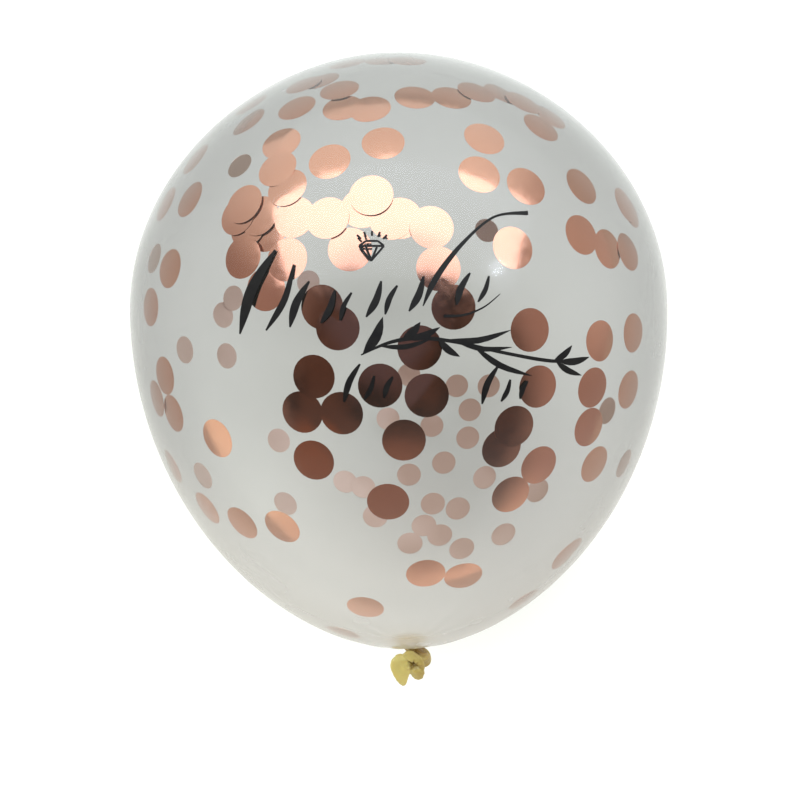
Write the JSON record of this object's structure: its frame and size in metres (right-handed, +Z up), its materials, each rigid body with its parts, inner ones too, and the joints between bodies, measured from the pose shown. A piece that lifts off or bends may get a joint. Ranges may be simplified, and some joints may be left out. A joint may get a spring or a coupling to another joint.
{
  "type": "confetti balloon",
  "caption": "Inflated clear latex party balloon with foil confetti sealed inside, tied off at its neck and lying on its side.",
  "frame": {"origin": "on the small flat spot that the balloon rests on, straight under the widest ring of its skin", "axes": "+Y along the balloon's axis towards its crown, so that the knot points to -Y; +Z up, towards the printed face; +X to the right of the print"},
  "size_m": [0.2996, 0.361, 0.2973],
  "materials": {
    "clear_latex": "see-through latex, glossy, slightly milky",
    "gathered_latex": "thick gathered latex, satin, yellowish",
    "rose_gold_foil": "mirror-like metallised foil",
    "black_ink": "satin printed ink"
  },
  "bodies": {
    "root": {"balloon": "clear_latex"}
  },
  "joints": []
}
